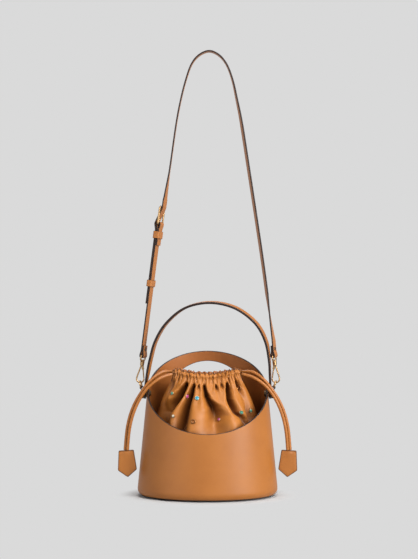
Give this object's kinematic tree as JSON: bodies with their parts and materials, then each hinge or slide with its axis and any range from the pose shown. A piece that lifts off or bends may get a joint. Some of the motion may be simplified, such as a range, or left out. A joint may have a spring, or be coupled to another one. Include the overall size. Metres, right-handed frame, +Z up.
{
  "type": "bucket bag",
  "caption": "Tan leather bucket bag with scooped oval body, gathered drawstring pouch inside, riveted top handle, and buckled shoulder strap on snap hooks",
  "frame": {"origin": "centre of the base on the floor", "axes": "+Z up, +Y towards the high back of the bucket, +X to the right when the scooped front faces the viewer"},
  "size_m": [0.2922, 0.1768, 0.728],
  "materials": {
    "tan_leather": "smooth",
    "dark_lining": "suede",
    "pouch_leather": "soft",
    "pale_gold": "polished",
    "board": "plain",
    "stone_green": "faceted",
    "stone_magenta": "faceted",
    "stone_turquoise": "faceted",
    "stone_clear": "faceted"
  },
  "bodies": {
    "bag": {"bucket_shell": "tan_leather", "bucket_lining": "dark_lining", "base_panel": "tan_leather", "base_board": "board", "base_lining": "dark_lining", "pouch_body": "pouch_leather", "cord_casing_front": "pouch_leather", "cord_casing_back": "pouch_leather", "drawcord_run_front": "tan_leather", "drawcord_run_back": "tan_leather", "cord_end_back_left": "tan_leather", "cord_end_back_right": "tan_leather", "cord_end_front_left": "tan_leather", "cord_end_front_right": "tan_leather", "pivot_rivet_left": "pale_gold", "pivot_rivet_right": "pale_gold", "rivet_washer_left": "pale_gold", "rivet_washer_right": "pale_gold", "rivet_spacer_left": "pale_gold", "rivet_spacer_right": "pale_gold", "stones_green": "stone_green", "stones_magenta": "stone_magenta", "stones_turquoise": "stone_turquoise", "stones_clear": "stone_clear", "stone_settings": "pale_gold", "eyelets": "pale_gold"},
    "handle": {"handle_outer": "tan_leather", "handle_lining": "tan_leather"},
    "strap_loop": {"ring_tab_left": "tan_leather", "ring_tab_right": "tan_leather", "ring_left": "pale_gold", "ring_right": "pale_gold", "hook_eye_left": "pale_gold", "hook_eye_right": "pale_gold", "strap_long": "tan_leather", "strap_short": "tan_leather", "buckle_frame": "pale_gold", "keeper_fixed": "tan_leather", "strap_rivet_left": "pale_gold", "strap_rivet_right": "pale_gold"},
    "hook_left": {"hook_body_left": "pale_gold", "gate_pin_left": "pale_gold"},
    "hook_right": {"hook_body_right": "pale_gold", "gate_pin_right": "pale_gold"},
    "gate_left": {"hook_gate_left": "pale_gold"},
    "gate_right": {"hook_gate_right": "pale_gold"},
    "prong": {"buckle_prong": "pale_gold"},
    "keeper": {"keeper_sliding": "tan_leather"},
    "cord_tab_left": {"cord_tab_front_left": "tan_leather", "cord_tab_back_left": "tan_leather"},
    "cord_tab_right": {"cord_tab_front_right": "tan_leather", "cord_tab_back_right": "tan_leather"}
  },
  "joints": [
    {"name": "handle_swing", "type": "hinge", "parent": "bag", "child": "handle", "pos_m": [0, 0, 0.166], "axis": [-1, 0, 0], "range_deg": [-2, 105]},
    {"name": "strap_swing", "type": "hinge", "parent": "bag", "child": "strap_loop", "pos_m": [0, 0, 0.166], "axis": [-1, 0, 0], "range_deg": [-3, 100]},
    {"name": "hook_swivel_left", "type": "hinge", "parent": "strap_loop", "child": "hook_left", "pos_m": [-0.10696, 0, 0.21725], "axis": [0.1271, 0, 0.9919], "range_deg": [-12, 12]},
    {"name": "gate_hinge_left", "type": "hinge", "parent": "hook_left", "child": "gate_left", "pos_m": [-0.10591, 0, 0.20653], "axis": [0, 1, 0], "range_deg": [0, 22], "stiffness_Nm_per_rad": 0.005, "springref_deg": -5.73},
    {"name": "cord_tab_swing_left", "type": "hinge", "parent": "bag", "child": "cord_tab_left", "pos_m": [-0.1325, -0.0146, 0.0742], "axis": [1, 0, 0], "range_deg": [-12, 12]},
    {"name": "hook_swivel_right", "type": "hinge", "parent": "strap_loop", "child": "hook_right", "pos_m": [0.10977, 0, 0.2173], "axis": [-0.0785, 0, 0.9969], "range_deg": [-12, 12]},
    {"name": "gate_hinge_right", "type": "hinge", "parent": "hook_right", "child": "gate_right", "pos_m": [0.1082, 0, 0.20665], "axis": [0, -1, 0], "range_deg": [0, 22], "stiffness_Nm_per_rad": 0.005, "springref_deg": -5.73},
    {"name": "cord_tab_swing_right", "type": "hinge", "parent": "bag", "child": "cord_tab_right", "pos_m": [0.1325, -0.0146, 0.0742], "axis": [1, 0, 0], "range_deg": [-12, 12]},
    {"name": "prong_hinge", "type": "hinge", "parent": "strap_loop", "child": "prong", "pos_m": [-0.07799, 0, 0.4434], "axis": [-0.3392, -0.9397, 0.0435], "range_deg": [0, 7], "stiffness_Nm_per_rad": 0.002},
    {"name": "keeper_slide", "type": "slide", "parent": "strap_loop", "child": "keeper", "axis": [0.1271, 0, 0.9919], "range_m": [-0.024, 0.048]}
  ]
}
